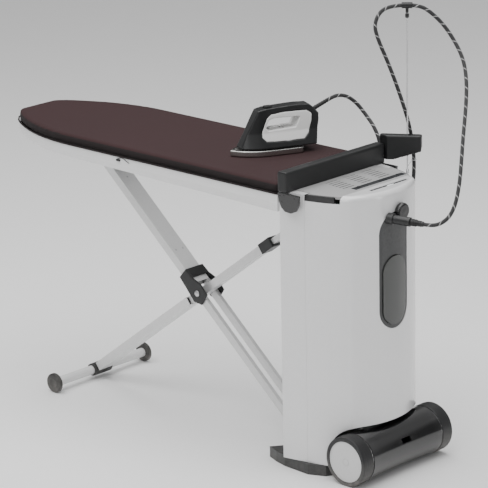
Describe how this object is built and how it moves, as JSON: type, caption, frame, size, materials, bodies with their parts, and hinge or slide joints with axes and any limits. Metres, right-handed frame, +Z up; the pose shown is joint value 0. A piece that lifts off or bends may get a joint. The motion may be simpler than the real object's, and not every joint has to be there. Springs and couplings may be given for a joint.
{
  "type": "steam ironing system",
  "caption": "Ironing board with maroon padded cover on scissor legs, docked to a wheeled white steam station with a corded steam iron, hose mast and water tank.",
  "frame": {"origin": "middle of the station's underside on the floor, on the board's centreline, just below the board's heel", "axes": "+X from the board towards the station's front, +Y to the hose-holder side, +Z up"},
  "size_m": [1.6028, 0.5276, 1.2718],
  "materials": {
    "black_plastic": "satin black moulded plastic",
    "gloss_black": "gloss black moulded plastic",
    "pin_steel": "zinc-plated steel",
    "white_shell": "gloss white lacquer",
    "guide_plastic": "dark grey acetal",
    "dark_display": "dark smoked display window",
    "grey_panel": "fine-grained grey plastic",
    "charcoal_panel": "charcoal satin plastic",
    "boiler_steel": "brushed stainless steel",
    "brass_fitting": "machined brass",
    "circuit_board": "green circuit board",
    "bright_steel": "bright steel",
    "hose_braid": "black textile braid with light flecks",
    "white_tray": "white powder coat",
    "cover_fabric": "dark maroon woven cotton",
    "sole_steel": "brushed steel",
    "iron_black": "satin black plastic",
    "iron_white": "gloss white plastic",
    "rubber_black": "matt black rubber",
    "white_leg": "white powder coat",
    "silver_leg": "light anodised aluminium",
    "tank_tint": "smoke-tinted clear plastic",
    "tyre_black": "matt black rubber",
    "disc_grey": "light grey satin plastic"
  },
  "bodies": {
    "station": {"base_plate": "black_plastic", "base_pivot_pin": "pin_steel", "column_shell": "white_shell", "height_guide": "guide_plastic", "front_cover": "white_shell", "indicator_strip": "dark_display", "top_band": "black_plastic", "slotted_panel": "grey_panel", "display_strip": "dark_display", "oval_panel": "charcoal_panel", "hose_socket": "black_plastic", "hose_plug": "black_plastic", "steam_boiler": "boiler_steel", "water_pump": "guide_plastic", "steam_valve": "brass_fitting", "control_circuit": "circuit_board", "steam_pipe": "brass_fitting", "axle_housing": "gloss_black", "axle": "pin_steel", "carry_handle": "black_plastic", "ear_caps": "gloss_black", "hose_holder": "black_plastic", "mast": "bright_steel", "mast_clip": "black_plastic", "hose_station_run": "hose_braid"},
    "board": {"board_tray": "white_tray", "perforated_plate": "bright_steel", "padded_cover": "cover_fabric", "leg_rail": "guide_plastic", "heel_bracket": "pin_steel", "fan_housing": "guide_plastic", "hose_iron_run": "hose_braid"},
    "iron": {"iron_soleplate": "sole_steel", "iron_shell": "iron_black", "iron_inner_loop": "iron_white", "iron_cord_relief": "rubber_black"},
    "temperature_dial": {"iron_dial": "iron_white"},
    "steam_button": {"steam_button": "iron_black"},
    "fan": {"fan_impeller": "guide_plastic"},
    "leg_a": {"leg_a_upper": "white_leg", "leg_a_lower": "silver_leg", "crossing_pin": "pin_steel", "pivot_cover": "black_plastic", "leg_a_roller": "guide_plastic"},
    "leg_b_tube": {"leg_b_tube": "silver_leg"},
    "leg_b": {"leg_b_lower": "white_leg", "leg_b_channel": "silver_leg", "tube_collar": "black_plastic", "foot_bar": "white_leg", "feet": "rubber_black", "foot_joint": "black_plastic"},
    "tank": {"water_tank": "tank_tint", "tank_cap": "rubber_black"},
    "power_key": {"power_key": "dark_display"},
    "steam_key": {"steam_key": "dark_display"},
    "release_knob": {"hose_release_knob": "gloss_black"},
    "wheel_left": {"tyre_left": "tyre_black", "wheel_disc_left": "disc_grey"},
    "wheel_right": {"tyre_right": "tyre_black", "wheel_disc_right": "disc_grey"}
  },
  "joints": [
    {"name": "board_height", "type": "slide", "parent": "station", "child": "board", "axis": [0, 0, 1], "range_m": [0, 0.19]},
    {"name": "leg_a_turn", "type": "hinge", "parent": "station", "child": "leg_a", "pos_m": [-0.103, 0, 0.03], "axis": [0, 1, 0], "range_deg": [0, 15.8]},
    {"name": "leg_b_turn", "type": "hinge", "parent": "board", "child": "leg_b_tube", "pos_m": [-0.034, 0, 0.717], "axis": [0, 1, 0], "range_deg": [-15.2, 0]},
    {"name": "leg_b_telescope", "type": "slide", "parent": "leg_b_tube", "child": "leg_b", "axis": [0.8046, 0, 0.5938], "range_m": [0, 0.0345]},
    {"name": "iron_lift", "type": "slide", "parent": "board", "child": "iron", "axis": [0, 0, 1], "range_m": [0, 0.12]},
    {"name": "dial_turn", "type": "hinge", "parent": "iron", "child": "temperature_dial", "pos_m": [-0.25395, 0.05047, 0.8926], "axis": [0, 0, 1], "range_deg": [0, 270]},
    {"name": "steam_button_press", "type": "slide", "parent": "iron", "child": "steam_button", "axis": [0, 0, -1], "range_m": [0, 0.002], "stiffness_N_per_m": 900},
    {"name": "fan_spin", "type": "hinge", "parent": "board", "child": "fan", "pos_m": [-0.42, 0, 0.78], "axis": [0, 0, 1], "continuous": true},
    {"name": "tank_pull", "type": "slide", "parent": "station", "child": "tank", "axis": [1, 0, 0], "range_m": [0, 0.11]},
    {"name": "power_key_press", "type": "slide", "parent": "station", "child": "power_key", "axis": [0, 0, -1], "range_m": [0, 0.0015], "stiffness_N_per_m": 600},
    {"name": "steam_key_press", "type": "slide", "parent": "station", "child": "steam_key", "axis": [0, 0, -1], "range_m": [0, 0.0015], "stiffness_N_per_m": 600},
    {"name": "release_knob_turn", "type": "hinge", "parent": "station", "child": "release_knob", "pos_m": [0.2335, 0.022, 0.75], "axis": [1, 0, 0], "range_deg": [0, 60]},
    {"name": "wheel_left_spin", "type": "hinge", "parent": "station", "child": "wheel_left", "pos_m": [0.212, -0.169, 0.071], "axis": [0, 1, 0], "continuous": true},
    {"name": "wheel_right_spin", "type": "hinge", "parent": "station", "child": "wheel_right", "pos_m": [0.212, 0.169, 0.071], "axis": [0, 1, 0], "continuous": true}
  ],
  "couplings": [
    {"joint": "leg_a_turn", "follows": "board_height", "rad_per_m": 1.4282},
    {"joint": "leg_b_turn", "follows": "board_height", "rad_per_m": -1.3715},
    {"joint": "leg_b_telescope", "follows": "board_height", "ratio": 0.1794}
  ]
}
